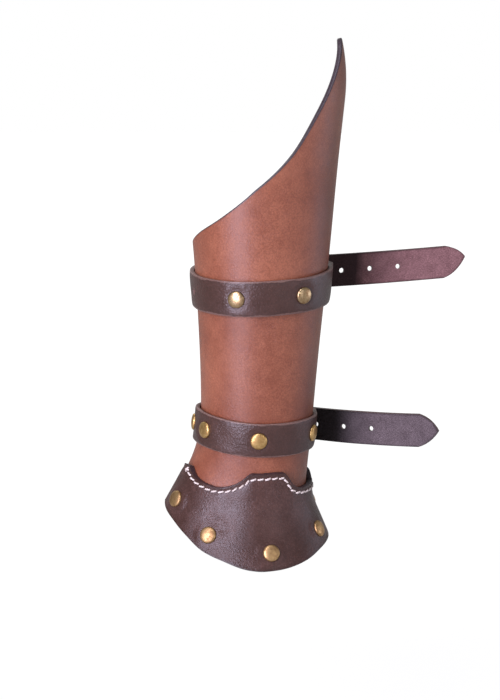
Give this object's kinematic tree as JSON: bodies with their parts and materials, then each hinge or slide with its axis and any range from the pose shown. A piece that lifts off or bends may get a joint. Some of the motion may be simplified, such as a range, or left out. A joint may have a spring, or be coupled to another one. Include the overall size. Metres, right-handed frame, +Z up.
{
  "type": "leather bracer",
  "caption": "Left forearm bracer: stiff leather cuff with a tall pointed tip over the elbow, two riveted buckled straps and a flared stitched and studded hand guard.",
  "frame": {"origin": "centre of the wrist opening, in the middle of the arm", "axes": "+Z up the forearm from wrist to elbow, -Y out of the back of the hand, +X towards the little finger"},
  "size_m": [0.187, 0.1054, 0.3058],
  "materials": {
    "cuff_leather": "smooth waxed vegetable-tanned leather, chestnut brown, dark burnished edges",
    "guard_leather": "pebbled dark brown leather, semi-gloss",
    "strap_leather": "pebbled dark brown leather, semi-gloss, suede flesh side",
    "brass": "satin brass, slightly worn",
    "buckle_brass": "cast brass, satin",
    "thread": "waxed cream thread"
  },
  "bodies": {
    "bracer": {"cuff": "cuff_leather", "hand_guard": "guard_leather", "guard_stitching": "thread", "guard_rivet_caps": "brass", "guard_rivet_backs": "brass", "upper_strap": "strap_leather", "upper_strap_rivet_caps": "brass", "upper_strap_rivet_backs": "brass", "upper_chape_rivet_cap": "brass", "upper_chape_rivet_back": "brass", "lower_strap": "strap_leather", "lower_strap_rivet_caps": "brass", "lower_strap_rivet_backs": "brass", "lower_chape_rivet_cap": "brass", "lower_chape_rivet_back": "brass"},
    "upper_tail": {"upper_strap_tail": "strap_leather"},
    "upper_frame": {"upper_buckle_frame": "buckle_brass"},
    "upper_roller": {"upper_buckle_roller": "buckle_brass"},
    "upper_prong": {"upper_buckle_prong": "buckle_brass"},
    "lower_tail": {"lower_strap_tail": "strap_leather"},
    "lower_frame": {"lower_buckle_frame": "buckle_brass"},
    "lower_roller": {"lower_buckle_roller": "buckle_brass"},
    "lower_prong": {"lower_buckle_prong": "buckle_brass"}
  },
  "joints": [
    {"name": "upper_tail_bend", "type": "hinge", "parent": "bracer", "child": "upper_tail", "pos_m": [0.02659, 0.04134, 0.13408], "axis": [0.0368, 0.0651, 0.9972], "range_deg": [-35, 60]},
    {"name": "upper_frame_swing", "type": "hinge", "parent": "bracer", "child": "upper_frame", "pos_m": [0.02559, 0.03534, 0.13451], "axis": [-0.0368, -0.0651, -0.9972], "range_deg": [0, 6]},
    {"name": "upper_prong_lift", "type": "hinge", "parent": "upper_frame", "child": "upper_prong", "pos_m": [0.02559, 0.03534, 0.13451], "axis": [-0.0368, -0.0651, -0.9972], "range_deg": [0, 12]},
    {"name": "upper_roller_spin", "type": "hinge", "parent": "upper_frame", "child": "upper_roller", "pos_m": [0.00315, 0.04308, 0.13483], "axis": [0.0368, 0.0651, 0.9972], "continuous": true},
    {"name": "lower_tail_bend", "type": "hinge", "parent": "bracer", "child": "lower_tail", "pos_m": [0.01678, 0.03785, 0.04194], "axis": [0.0222, 0.0671, 0.9975], "range_deg": [-10, 75]},
    {"name": "lower_frame_swing", "type": "hinge", "parent": "bracer", "child": "lower_frame", "pos_m": [0.01299, 0.0332, 0.04233], "axis": [-0.0222, -0.0671, -0.9975], "range_deg": [0, 6]},
    {"name": "lower_prong_lift", "type": "hinge", "parent": "lower_frame", "child": "lower_prong", "pos_m": [0.01299, 0.0332, 0.04233], "axis": [-0.0222, -0.0671, -0.9975], "range_deg": [0, 12]},
    {"name": "lower_roller_spin", "type": "hinge", "parent": "lower_frame", "child": "lower_roller", "pos_m": [-0.0102, 0.03523, 0.04271], "axis": [0.0222, 0.0671, 0.9975], "continuous": true}
  ]
}
